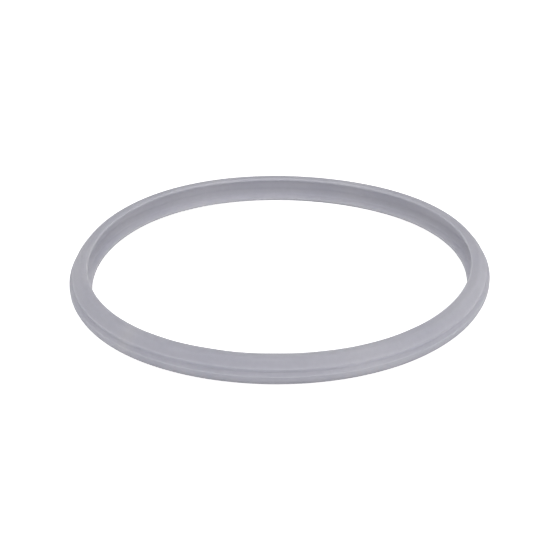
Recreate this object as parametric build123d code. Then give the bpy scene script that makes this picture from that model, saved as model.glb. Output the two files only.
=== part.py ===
from build123d import *
import os

# Sealing ring: one closed loop of moulded silicone with a C-shaped section that opens towards
# the middle. It lies on its lower lip, base on z = 0, with its axis on Z. Millimetres.

# Driving dimensions
outer_diameter = 220.0        # over the round band half way up the outside
rim_diameter = 200.0          # inner edge of the upper lip
bore_diameter = 196.8         # inner edge of the lower lip, which reaches further in
ring_height = 13.0

land_width = 5.0              # flat top of the upper lip, before its outer edge is rounded
band_top = 5.6                # height of the outer band's upper edge
shoulder_drop = 1.7           # fall of the shoulder from the groove out to the band
shoulder_width = 2.1
foot_rise = 1.4               # from the groove up to the foot of the tapered wall
foot_overhang = 0.5           # the foot of the tapered wall stands out over the groove

upper_lip_thickness = 1.6
lip_top_lean = 0.2            # the upper lip's edge leans back by this much under the rim
lower_lip_thickness = 1.4
channel_depth = 2.4           # how far the channel reaches behind the upper lip's edge
channel_roof_drop = 0.5       # the upper lip thickens by this much towards its root
channel_wall_lean = 1.2       # the channel's back wall leans out going down, like the outside
channel_floor_height = 5.4
lip_crease = 2.8              # where the lower lip's upper face turns up towards the channel
lip_rise = 1.2                # height gained from the lip's edge to that crease

# Corner radii
base_radius = 4.0
band_radius = 0.4
groove_radius = 1.0
foot_radius = 1.0
crown_radius = 3.5
rim_radius = 0.7
upper_lip_radius = 0.5
channel_roof_radius = 0.8
channel_floor_radius = 1.6
crease_radius = 1.0
lower_lip_radius = 0.4
lip_foot_radius = 0.3

# Worked out from the driving dimensions
outer_r = outer_diameter / 2
rim_r = rim_diameter / 2
bore_r = bore_diameter / 2
groove_r = outer_r - shoulder_width
groove_z = band_top + shoulder_drop
foot_r = groove_r + foot_overhang
foot_z = groove_z + foot_rise
roof_z = ring_height - upper_lip_thickness - channel_roof_drop
roof_r = rim_r + channel_depth


def outside_corners():
    """The section's outer side from the base up to the rim, as (radius, height, corner radius)."""
    return [
        (outer_r, 0, base_radius),
        (outer_r, band_top, band_radius),
        (groove_r, groove_z, groove_radius),
        (foot_r, foot_z, foot_radius),
        (rim_r + land_width, ring_height, crown_radius),
        (rim_r, ring_height, rim_radius),
    ]


def channel_corners():
    """The section's inner side from the upper lip down round the channel to the lower lip."""
    return [
        (rim_r + lip_top_lean, ring_height - upper_lip_thickness, upper_lip_radius),
        (roof_r, roof_z, channel_roof_radius),
        (roof_r + channel_wall_lean, channel_floor_height, channel_floor_radius),
        (bore_r + lip_crease, lower_lip_thickness + lip_rise, crease_radius),
        (bore_r, lower_lip_thickness, lower_lip_radius),
        (bore_r, 0, lip_foot_radius),
    ]


def ring_section():
    """The moulded section, as a face in the XZ plane."""
    corners = outside_corners() + channel_corners()
    points = [(radius, height) for radius, height, _ in corners]
    roundings = [rounding for _, _, rounding in corners]
    outline = FilletPolyline(*points, radius=roundings, close=True)
    return Plane.XZ * make_face(outline)


def sealing_ring():
    """The section carried once round the axis."""
    return revolve(ring_section(), Axis.Z, 360)


os.makedirs("parts", exist_ok=True)
ring = sealing_ring()
ring.label = "sealing_ring"
export_step(ring, "parts/sealing_ring.step")
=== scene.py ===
import math

import bpy
import numpy as np
from mathutils import Matrix, Vector


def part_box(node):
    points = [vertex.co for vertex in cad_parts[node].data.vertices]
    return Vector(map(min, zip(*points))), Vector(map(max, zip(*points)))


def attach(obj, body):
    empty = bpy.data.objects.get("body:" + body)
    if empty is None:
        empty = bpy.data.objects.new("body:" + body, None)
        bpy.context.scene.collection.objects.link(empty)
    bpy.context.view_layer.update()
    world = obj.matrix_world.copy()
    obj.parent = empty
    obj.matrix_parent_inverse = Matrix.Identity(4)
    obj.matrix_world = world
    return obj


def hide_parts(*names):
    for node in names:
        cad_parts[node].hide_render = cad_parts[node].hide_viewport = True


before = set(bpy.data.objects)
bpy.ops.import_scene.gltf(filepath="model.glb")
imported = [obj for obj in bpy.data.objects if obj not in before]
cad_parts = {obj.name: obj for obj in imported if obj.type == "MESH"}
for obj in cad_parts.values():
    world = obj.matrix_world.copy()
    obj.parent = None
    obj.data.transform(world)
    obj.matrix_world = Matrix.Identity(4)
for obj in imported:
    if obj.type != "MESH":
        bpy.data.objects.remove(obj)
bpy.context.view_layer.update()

mm = 0.001
scene = bpy.context.scene
ringLow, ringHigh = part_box("sealing_ring")
outerRadius = max(ringHigh.x, -ringLow.x)        # the frame's mesh has a corner on +X
ringHeight = ringHigh.z - ringLow.z
print("frame loaded, ring radius and height in mm:", round(outerRadius / mm, 2), round(ringHeight / mm, 2))


# small helpers for meshes and shader nodes

def meshObject(name, points, quads):
    mesh = bpy.data.meshes.new(name)
    mesh.vertices.add(len(points))
    mesh.vertices.foreach_set("co", points.astype(np.float32).ravel())
    mesh.loops.add(quads.size)
    mesh.loops.foreach_set("vertex_index", quads.astype(np.int32).ravel())
    mesh.polygons.add(len(quads))
    mesh.polygons.foreach_set("loop_start", np.arange(0, quads.size, 4, dtype=np.int32))
    mesh.update(calc_edges=True)
    mesh.shade_smooth()
    piece = bpy.data.objects.new(name, mesh)
    scene.collection.objects.link(piece)
    return piece


def pointAttribute(piece, name, values):
    attribute = piece.data.attributes.new(name, "FLOAT", "POINT")
    attribute.data.foreach_set("value", values.astype(np.float32).ravel())


def newMaterial(name):
    material = bpy.data.materials.new(name)
    material.use_nodes = True
    return material, material.node_tree, material.node_tree.nodes["Principled BSDF"]


def addNode(tree, kind, settings=None, inputs=None):
    node = tree.nodes.new(kind)
    for key, value in (settings or {}).items():
        setattr(node, key, value)
    for key, value in (inputs or {}).items():
        if hasattr(value, "is_linked"):
            tree.links.new(value, node.inputs[key])
        else:
            node.inputs[key].default_value = value
    return node


def maths(tree, operation, a, b=0.0):
    return addNode(tree, "ShaderNodeMath", {"operation": operation}, {0: a, 1: b}).outputs[0]


def remap(tree, value, fromLow, fromHigh, toLow, toHigh, smooth=False):
    settings = {"interpolation_type": "SMOOTHSTEP" if smooth else "LINEAR"}
    limits = {"Value": value, "From Min": fromLow, "From Max": fromHigh, "To Min": toLow, "To Max": toHigh}
    return addNode(tree, "ShaderNodeMapRange", settings, limits).outputs["Result"]


def mixColours(tree, factor, a, b, blend="MIX"):
    settings = {"data_type": "RGBA", "blend_type": blend}
    return addNode(tree, "ShaderNodeMix", settings, {0: factor, 6: a, 7: b}).outputs[2]


def addUp(tree, total, amounts, effects):
    # total, plus each effect times its amount
    for name, amount in amounts.items():
        total = maths(tree, "ADD", total, maths(tree, "MULTIPLY", effects[name], amount))
    return total


def noiseAt(tree, coords, perMetre, detail=2.0):
    inputs = {"Vector": coords, "Scale": perMetre, "Detail": detail}
    return addNode(tree, "ShaderNodeTexNoise", {}, inputs).outputs["Fac"]


def evened(tree, noise):
    # most of a noise lies between 0.3 and 0.7, which becomes -1 to 1
    return remap(tree, noise, 0.3, 0.7, -1, 1)


def readAttribute(tree, name):
    return addNode(tree, "ShaderNodeAttribute", {"attribute_name": name}).outputs["Fac"]


# the moulded section, in mm: in from the outside wall, and up from the table
ringSection = {
    "rimInset": 10.0,             # edge of the upper lip
    "boreInset": 11.6,            # edge of the lower lip, which reaches further in
    "landWidth": 5.0,             # flat top of the upper lip
    "bandTop": 5.6,
    "shoulderDrop": 1.7,          # from the groove down and out to the band
    "shoulderWidth": 2.1,
    "footRise": 1.4,              # from the groove up to the foot of the tapered wall
    "footOverhang": 0.5,          # and out over the groove
    "upperLipThickness": 1.6,
    "lowerLipThickness": 1.4,
    "lipTopLean": 0.2,            # the upper lip's edge leans back under the rim
    "channelDepth": 2.4,          # behind the upper lip's edge
    "channelRoofDrop": 0.5,
    "channelWallLean": 1.2,
    "channelFloorHeight": 5.4,
    "lipCrease": 2.8,             # where the lower lip turns up towards the channel
    "lipRise": 1.2,
}

# corner radii in mm, from the foot of the band up the outside, over the top and back down the channel
cornerRounding = {
    "base": 4.0, "band": 0.4, "groove": 1.0, "foot": 1.0, "crown": 3.5, "rim": 0.7,
    "upperLip": 0.5, "channelRoof": 0.8, "channelFloor": 1.6,
    "crease": 1.0, "lowerLip": 0.4, "lipFoot": 0.3,
}

# how the soft ring lies, and what moulding and trimming leave on it
ringShape = {
    "aroundSteps": 720,
    "arcStep": 11.0,              # degrees between points on a rounded corner
    "flatStep": 0.9,              # mm between points on a straight run
    "outOfRound": 0.455,          # mm, the loop relaxes to a slightly three-cornered circle
    "outOfRoundAt": 9.8,          # degrees
    "liftOff": 0.73,              # mm, and touches the table at three low places
    "liftOffAt": 15.0,            # degrees
    "partingAt": 4.75,            # mm up the band, where the two halves of the mould met
    "partingHigh": 0.07,          # mm proud
    "partingWide": 0.12,          # mm
    "partingStep": 0.08,          # mm between points near it
    "partingWaves": (5, 60),      # waves round the ring, fewest and most, in how proud it is
    "trimWander": 0.06,           # mm, the lower lip's edge is trimmed by hand
    "trimWaves": (15, 110),
    "wallWander": 0.05,           # mm, all of the outside
    "wallWaves": (4, 24),
    "lipWave": 0.12,              # mm, the thin upper lip is a little wavy
    "lipWaves": (6, 30),
    "edgeReach": 0.5,             # mm, how far the turn of an edge or crease spreads along the section
    "paintedGrooveLightReach": 1.1,             # mm, how far painted light spreads from the outer groove, lifting the shade there
    "paintedLightUnder": 2.6,            # mm, rubber thinner than this is painted paler, standing in for the table's light coming through
    "solidOver": 6.0,             # mm, and thicker than this doesn't
    "paintedLightReach": 0.7,            # mm, how softly one passes into the other
    "lowUnder": 3.0,              # mm, only near the table, which is up to here
    "highOver": 9.0,              # mm, and not above here
}


def sectionCorners(section, rounding):
    # each corner's radius, height and rounding in mm, round the section with the rubber on the left
    outer, high = outerRadius / mm, ringHeight / mm
    rim, bore = outer - section["rimInset"], outer - section["boreInset"]
    groove, grooveHeight = outer - section["shoulderWidth"], section["bandTop"] + section["shoulderDrop"]
    lipUnder, roof = high - section["upperLipThickness"], rim + section["channelDepth"]
    places = [
        (outer, 0),
        (outer, section["bandTop"]),
        (groove, grooveHeight),
        (groove + section["footOverhang"], grooveHeight + section["footRise"]),
        (rim + section["landWidth"], high),
        (rim, high),
        (rim + section["lipTopLean"], lipUnder),
        (roof, lipUnder - section["channelRoofDrop"]),
        (roof + section["channelWallLean"], section["channelFloorHeight"]),
        (bore + section["lipCrease"], section["lowerLipThickness"] + section["lipRise"]),
        (bore, section["lowerLipThickness"]),
        (bore, 0),
    ]
    return np.column_stack([np.array(places), list(rounding.values())])


def roundedCorner(before, corner, after, radius, stepDegrees):
    # the arc that touches both sides: its centre is on the line that halves the corner, and is
    # radius / sin(half the corner) away from it
    toBefore = (before - corner) / np.linalg.norm(before - corner)
    toAfter = (after - corner) / np.linalg.norm(after - corner)
    half = np.arccos(np.clip(toBefore @ toAfter, -1, 1)) / 2
    bisector = (toBefore + toAfter) / np.linalg.norm(toBefore + toAfter)
    centre = corner + bisector * radius / np.sin(half)
    first = corner + toBefore * radius / np.tan(half) - centre
    last = corner + toAfter * radius / np.tan(half) - centre
    turn = np.arctan2(first[0] * last[1] - first[1] * last[0], first @ last)
    count = max(3, int(np.ceil(abs(np.degrees(turn)) / stepDegrees)) + 1)
    angles = np.arctan2(first[1], first[0]) + np.linspace(0, turn, count)
    return centre + radius * np.stack([np.cos(angles), np.sin(angles)], 1)


def sectionOutline(corners, shape):
    # rounded corners joined by straight runs, which are divided evenly, and finely at the parting line
    count = len(corners)
    places, radii = corners[:, :2], corners[:, 2]
    arcs = [roundedCorner(places[i - 1], places[i], places[(i + 1) % count], radii[i], shape["arcStep"])
            for i in range(count)]
    outline = []
    for i, arc in enumerate(arcs):
        start, end = arc[-1], arcs[(i + 1) % count][0]
        crossesParting = start[1] < shape["partingAt"] < end[1]
        step = shape["partingStep"] if crossesParting else shape["flatStep"]
        pieces = max(1, int(round(np.linalg.norm(end - start) / step)))
        outline += [arc, start + np.linspace(0, 1, pieces + 1)[1:-1, None] * (end - start)]
    outline = np.concatenate(outline)
    fromMiddle = np.abs(outline[:, 0] - outline[:, 0].mean())
    onBase = outline[:, 1] < 1e-6                # mm, as good as on the table
    start = np.argmin(np.where(onBase, fromMiddle, np.inf))
    return np.roll(outline, -int(start), 0)      # starts out of sight, in the middle of the base


def closedWander(angles, waveCounts, seed):
    # a closed wandering line from -1 to 1: the sum of whole numbers of waves round the ring, finer
    # ones smaller, each starting at a place taken by chance
    waves = np.arange(waveCounts[0], waveCounts[1] + 1)
    phases = np.random.default_rng(seed).uniform(0, 2 * np.pi, len(waves))
    line = (np.cos(np.outer(angles, waves) + phases) / np.sqrt(waves)).sum(1)
    return line / np.abs(line).max()


def softStep(value, low, high):
    # 0 below low, 1 above high, and an S-shaped cubic between them
    t = np.clip((value - low) / (high - low), 0, 1)
    return t * t * (3 - 2 * t)


def ringSurface(outline, angles, section, shape):
    # (point of the section, angle round the axis) -> the section carried round the axis. A wave of
    # three in radius and another in height are how the loop lies, a bell curve on the band is the
    # parting line, and the lips and the outside wander a little
    radius, height = outline[:, 0], outline[:, 1]
    outer, halfHeight = outerRadius / mm, ringHeight / mm / 2
    rim, bore = outer - section["rimInset"], outer - section["boreInset"]

    onBand = radius > outer - section["shoulderWidth"] / 2
    parting = onBand * np.exp(-((height - shape["partingAt"]) / shape["partingWide"]) ** 2)
    onUpperLip = softStep(rim + section["channelDepth"] - radius, 0, section["channelDepth"])
    onUpperLip = onUpperLip * (height > halfHeight)
    onTrim = np.exp(-((radius - bore) / section["lowerLipThickness"]) ** 2) * (height < halfHeight)
    onOutside = softStep(radius, rim + section["landWidth"], outer)

    swell = shape["outOfRound"] * np.cos(3 * angles - np.radians(3 * shape["outOfRoundAt"]))
    lift = shape["liftOff"] * (1 + np.cos(3 * angles - np.radians(3 * shape["liftOffAt"])))
    proud = shape["partingHigh"] * (1 + closedWander(angles, shape["partingWaves"], seed=1)) / 2
    trimmed = shape["trimWander"] * closedWander(angles, shape["trimWaves"], seed=2)
    uneven = shape["wallWander"] * closedWander(angles, shape["wallWaves"], seed=3)
    wavy = shape["lipWave"] * closedWander(angles, shape["lipWaves"], seed=4)

    radii = radius[:, None] + swell + np.outer(parting, proud)
    radii = radii + np.outer(onTrim, trimmed) + np.outer(onOutside, uneven)
    heights = height[:, None] + lift + np.outer(onUpperLip, wavy)
    return np.stack([radii * np.cos(angles), radii * np.sin(angles), heights], 2) * mm


def quadsOf(rows, columns):
    # one quad for each step along the section and round the ring, both closed, facing out of the rubber
    i, j = np.meshgrid(np.arange(rows), np.arange(columns), indexing="ij")
    nextI, nextJ = (i + 1) % rows, (j + 1) % columns
    corners = [i * columns + j, i * columns + nextJ, nextI * columns + nextJ, nextI * columns + j]
    return np.stack(corners, 2).reshape(-1, 4)


def wayRound(piece, outline, angles, middleRadius):
    # a UV map in metres: the way round the ring at its middle radius, and the way along the section
    steps = np.linalg.norm(np.roll(outline, -1, 0) - outline, axis=1) * mm
    along = np.concatenate([[0], np.cumsum(steps)])
    around = np.append(angles, 2 * np.pi) * middleRadius
    i, j = np.meshgrid(np.arange(len(outline)), np.arange(len(angles)), indexing="ij")
    us = np.stack([around[j], around[j + 1], around[j + 1], around[j]], 2)
    vs = np.stack([along[i], along[i], along[i + 1], along[i + 1]], 2)
    layer = piece.data.uv_layers.new(name="wayRound")
    layer.data.foreach_set("uv", np.stack([us, vs], 3).astype(np.float32).ravel())


def averaged(outline, values, reach):
    # each value mixed with its neighbours along the section, by a bell curve of how far apart they are
    steps = np.linalg.norm(np.roll(outline, -1, 0) - outline, axis=1)
    along = np.cumsum(steps) - steps
    apart = np.abs(along[:, None] - along)
    apart = np.minimum(apart, steps.sum() - apart)
    weights = np.exp(-(apart / reach) ** 2) * (steps + np.roll(steps, 1))
    return weights @ values / weights.sum(1)


def edgeOf(outline):
    # how sharply the section turns, in radians per mm: above 0 on its edges, below 0 in its creases
    before = outline - np.roll(outline, 1, 0)
    after = np.roll(outline, -1, 0) - outline
    turn = np.arctan2(before[:, 0] * after[:, 1] - before[:, 1] * after[:, 0], (before * after).sum(1))
    return turn / (np.linalg.norm(before, axis=1) + np.linalg.norm(after, axis=1)) * 2


def thicknessOf(outline):
    # from each point straight into the rubber to the section's next side, in mm
    ahead = np.roll(outline, -1, 0) - np.roll(outline, 1, 0)
    inward = np.stack([-ahead[:, 1], ahead[:, 0]], 1) / np.linalg.norm(ahead, axis=1)[:, None]
    side = np.roll(outline, -1, 0) - outline
    gap = outline[None, :] - outline[:, None]
    cross = inward[:, None, 0] * side[:, 1] - inward[:, None, 1] * side[:, 0]
    cross = np.where(np.abs(cross) < 1e-9, 1e-9, cross)          # a side parallel to the way in is far off
    depth = (gap[..., 0] * side[:, 1] - gap[..., 1] * side[:, 0]) / cross
    share = (gap[..., 0] * inward[:, None, 1] - gap[..., 1] * inward[:, None, 0]) / cross
    met = (depth > 1e-3) & (share >= 0) & (share <= 1)           # and a point's own two sides don't count
    return np.where(met, depth, np.inf).min(1)


def buildRing():
    corners = sectionCorners(ringSection, cornerRounding)
    outline = sectionOutline(corners, ringShape)
    angles = np.arange(ringShape["aroundSteps"]) * 2 * np.pi / ringShape["aroundSteps"]
    points = ringSurface(outline, angles, ringSection, ringShape)
    piece = meshObject("sealingRing", points.reshape(-1, 3), quadsOf(len(outline), len(angles)))
    middleRadius = outline[:, 0].mean() * mm
    wayRound(piece, outline, angles, middleRadius)

    # the turn drives roughness, and in the colour painted shade on convex edges and painted light in
    # creases
    edge = np.clip(averaged(outline, edgeOf(outline), ringShape["edgeReach"]), -1, 1)
    # painted light: thin rubber near the table is made paler, standing in for the table's light showing
    # through it
    thin = 1 - softStep(thicknessOf(outline), ringShape["paintedLightUnder"], ringShape["solidOver"])
    low = 1 - softStep(outline[:, 1], ringShape["lowUnder"], ringShape["highOver"])
    paintedTableLight = averaged(outline, thin * low, ringShape["paintedLightReach"])
    # painted light: the outer groove is made paler, which lifts the shade that falls in it
    grooveAndFoot = corners[2:4, :2].mean(0)     # half way between the groove and the wall's foot
    fromGroove = np.linalg.norm(outline - grooveAndFoot, axis=1)
    paintedGrooveLight = np.exp(-(fromGroove / ringShape["paintedGrooveLightReach"]) ** 2)
    for name, values in (("edge", edge), ("paintedTableLight", paintedTableLight), ("paintedGrooveLight", paintedGrooveLight)):
        pointAttribute(piece, name, np.repeat(values, len(angles)))
    return piece, middleRadius


# undyed silicone rubber: cloudy, satin, a little blue; thin rubber near the table gets painted light,
# paler as if the table's light came through
siliconeLook = {
    "cool": (0.437, 0.436, 0.494, 1),
    "neutral": (0.452, 0.448, 0.488, 1),
    "mostNeutral": 0.8,           # of the way from cool to neutral, in the palest clouds
    "reach": 6.0 * mm,            # how far light travels inside
    "refraction": 1.41,
    "roughness": (0.6, 0.74),
    "cloudsPerMetre": 25.0,
    "mottlePerMetre": 400.0,
    "linesPerMetre": 2600.0,      # the mould was turned on a lathe
    "wornPerMetre": 75.0,         # patches where the lines are worn away
    "wornBetween": (0.42, 0.62),  # noise under the first is worn clean, over the second not at all
    "specksPerMetre": 330.0,      # lint and talc
    "speckSize": (0.028, 0.07),   # of a cell, fully pale inside the first and gone past the second
    "speckShare": 0.22,           # of the cells have one
    "grainPerMetre": 4200.0,
    "peelPerMetre": 320.0,
    "relief": 0.02 * mm,
    "paintedHighlightAt": 225.5,              # degrees, a painted highlight across the ring: a pale, neutral patch like a soft reflection
    "paintedHighlightWide": 11.0 * mm,
    "paintedHighlightWander": 3.667 * mm,
    "paler": {                    # how much each effect adds to the colour, as a share of it
        # the curvature, thin-rubber, groove and highlight entries paint light and shade into the colour
        "clouds": 0.035, "mottle": 0.02, "lines": 0.02, "specks": 0.16,
        "edge": -0.03, "paintedTableLight": 0.22, "paintedGrooveLight": 0.09, "paintedHighlight": 0.03,
    },
    "rougher": {"clouds": 0.35, "mottle": 0.35, "edge": 0.3},
    "higher": {"grain": 0.35, "peel": 1.0, "lines": 0.25, "specks": 1.5},
}


def siliconeMaterial(middleRadius):
    look = siliconeLook
    material, tree, shader = newMaterial("naturalSilicone")
    place = addNode(tree, "ShaderNodeTexCoord").outputs["Object"]
    way = addNode(tree, "ShaderNodeUVMap", {"uv_map": "wayRound"}).outputs["UV"]
    way = addNode(tree, "ShaderNodeSeparateXYZ", {}, {"Vector": way})

    effects = {name: readAttribute(tree, name) for name in ("edge", "paintedTableLight", "paintedGrooveLight")}
    effects["clouds"] = evened(tree, noiseAt(tree, place, look["cloudsPerMetre"]))
    effects["mottle"] = evened(tree, noiseAt(tree, place, look["mottlePerMetre"]))
    effects["grain"] = noiseAt(tree, place, look["grainPerMetre"], 1.0)
    effects["peel"] = noiseAt(tree, place, look["peelPerMetre"])

    # lathe lines run round the ring, so they change only along the section, and are worn in patches
    along = maths(tree, "MULTIPLY", way.outputs["Y"], look["linesPerMetre"])
    inputs = {"W": along, "Scale": 1.0, "Detail": 1.0}
    lines = addNode(tree, "ShaderNodeTexNoise", {"noise_dimensions": "1D"}, inputs).outputs["Fac"]
    wornLow, wornHigh = look["wornBetween"]
    kept = remap(tree, noiseAt(tree, place, look["wornPerMetre"]), wornLow, wornHigh, 0, 1, smooth=True)
    effects["lines"] = maths(tree, "MULTIPLY", evened(tree, lines), kept)

    # a speck is a small round spot in the middle of a cell, and only a few cells are chosen
    cells = addNode(tree, "ShaderNodeTexVoronoi", {}, {"Vector": place, "Scale": look["specksPerMetre"]})
    chosen = maths(tree, "LESS_THAN", cells.outputs["Color"], look["speckShare"])
    core, rim = look["speckSize"]
    spots = remap(tree, cells.outputs["Distance"], core, rim, 1, 0, smooth=True)
    effects["specks"] = maths(tree, "MULTIPLY", spots, chosen)

    # the painted highlight crosses the ring at one angle, and its middle wanders with the clouds
    middle = math.radians(look["paintedHighlightAt"]) * middleRadius
    wander = maths(tree, "MULTIPLY", effects["clouds"], look["paintedHighlightWander"])
    off = maths(tree, "SUBTRACT", maths(tree, "ADD", way.outputs["X"], wander), middle)
    off = maths(tree, "ABSOLUTE", off)
    effects["paintedHighlight"] = remap(tree, off, 0, look["paintedHighlightWide"], 1, 0, smooth=True)

    # one paleness, 1 where nothing changes it, multiplies a colour that drifts from cool to neutral; the
    # paleness holds painted light and shade as well as the rubber's own clouds, lines and specks
    pale = addUp(tree, 1.0, look["paler"], effects)
    drift = remap(tree, effects["clouds"], -1, 1, 0, look["mostNeutral"])
    # the painted highlight also turns the colour neutral where it lies
    drift = maths(tree, "MAXIMUM", drift, effects["paintedHighlight"])
    base = mixColours(tree, drift, look["cool"], look["neutral"])
    tree.links.new(mixColours(tree, 1.0, base, pale, "MULTIPLY"), shader.inputs["Base Color"])

    low, high = look["roughness"]
    rub = addUp(tree, 0.0, look["rougher"], effects)
    tree.links.new(remap(tree, rub, -1, 1, low, high), shader.inputs["Roughness"])

    relief = addUp(tree, 0.0, look["higher"], effects)
    inputs = {"Strength": 1.0, "Distance": look["relief"], "Height": relief}
    bump = addNode(tree, "ShaderNodeBump", {}, inputs)
    tree.links.new(bump.outputs["Normal"], shader.inputs["Normal"])

    shader.inputs["IOR"].default_value = look["refraction"]
    shader.inputs["Subsurface Weight"].default_value = 1.0
    shader.inputs["Subsurface Radius"].default_value = (1.0, 1.0, 1.0)
    shader.inputs["Subsurface Scale"].default_value = look["reach"]
    return material


ring, ringMiddle = buildRing()
ring.data.materials.append(siliconeMaterial(ringMiddle))
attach(ring, "root")
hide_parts("sealing_ring")
print("ring built:", len(ring.data.polygons) * 2, "triangles")


# the table, the light and the camera
stageLook = {
    "floorSize": 6.0,
    "floorColour": (0.65, 0.65, 0.65, 1),
    "floorRoughness": 0.9,
    "floorWhite": 0.9,            # glow where the floor is looked at, so that it is seen clean white
    "worldColour": (1.0, 1.0, 1.0, 1),
    "worldStrength": 0.41,
}

# softboxes aimed at the ring: place, width and height in metres, and watts
softboxes = {
    "rightFront": ((1.0, -0.9, 0.5), (0.8, 0.8), 6.0),
    "leftFront": ((-0.9, -1.0, 0.5), (0.8, 0.8), 5.6),
    "frontRight": ((0.55, -0.85, 1.0), (0.9, 0.9), 1.5),
    "right": ((1.2, -0.2, 0.6), (0.8, 0.8), 2.9),
    "left": ((-1.2, -0.2, 0.6), (0.8, 0.8), 2.6),
    "back": ((0.0, 1.2, 0.7), (1.0, 0.6), 1.7),
}


def buildFloor():
    half = stageLook["floorSize"] / 2
    corners = np.array([(-half, -half, 0), (half, -half, 0), (half, half, 0), (-half, half, 0)])
    floor = meshObject("floor", corners, np.array([[0, 1, 2, 3]]))
    material, tree, shader = newMaterial("paleFloor")
    shader.inputs["Base Color"].default_value = stageLook["floorColour"]
    shader.inputs["Roughness"].default_value = stageLook["floorRoughness"]
    shader.inputs["Specular IOR Level"].default_value = 0.0
    shader.inputs["Emission Color"].default_value = (1, 1, 1, 1)
    seen = addNode(tree, "ShaderNodeLightPath").outputs["Is Camera Ray"]
    glow = maths(tree, "MULTIPLY", seen, stageLook["floorWhite"])
    tree.links.new(glow, shader.inputs["Emission Strength"])
    floor.data.materials.append(material)


def buildSoftbox(name, place, size, power):
    light = bpy.data.lights.new(name, "AREA")
    light.shape = "RECTANGLE"
    light.size, light.size_y = size
    light.energy = power
    holder = bpy.data.objects.new(name, light)
    holder.location = place
    holder.rotation_euler = (-Vector(place)).to_track_quat("-Z", "Y").to_euler()
    scene.collection.objects.link(holder)


def buildLight():
    world = bpy.data.worlds.new("studio")
    world.use_nodes = True
    background = world.node_tree.nodes["Background"]
    background.inputs["Color"].default_value = stageLook["worldColour"]
    background.inputs["Strength"].default_value = stageLook["worldStrength"]
    scene.world = world
    for name, (place, size, power) in softboxes.items():
        buildSoftbox(name, place, size, power)


cameraLook = {
    "elevation": 27.91,           # degrees above the table
    "roll": 0.79,                 # degrees
    "distance": 8 * outerRadius,
    "lens": 107.22,
    "aside": 0.62 * mm,           # the ring sits this far left of the middle
    "above": 0.72 * mm,           # and this far above it
}


def buildCamera():
    look = cameraLook
    tilt, roll = math.radians(look["elevation"]), math.radians(look["roll"])
    back = Vector((0, -math.cos(tilt), math.sin(tilt)))
    levelRight, levelUp = Vector((1, 0, 0)), Vector((0, math.sin(tilt), math.cos(tilt)))
    right = levelRight * math.cos(roll) - levelUp * math.sin(roll)
    up = levelRight * math.sin(roll) + levelUp * math.cos(roll)
    data = bpy.data.cameras.new("camera")
    data.lens = look["lens"]
    camera = bpy.data.objects.new("camera", data)
    middle = Vector((0, 0, ringShape["liftOff"] * mm))
    place = middle + right * look["aside"] - up * look["above"] + back * look["distance"]
    camera.matrix_world = Matrix.Translation(place) @ Matrix((right, up, back)).transposed().to_4x4()
    scene.collection.objects.link(camera)
    scene.camera = camera


buildFloor()
buildLight()
buildCamera()
scene.view_settings.view_transform = "Standard"
print("stage, light and camera set")
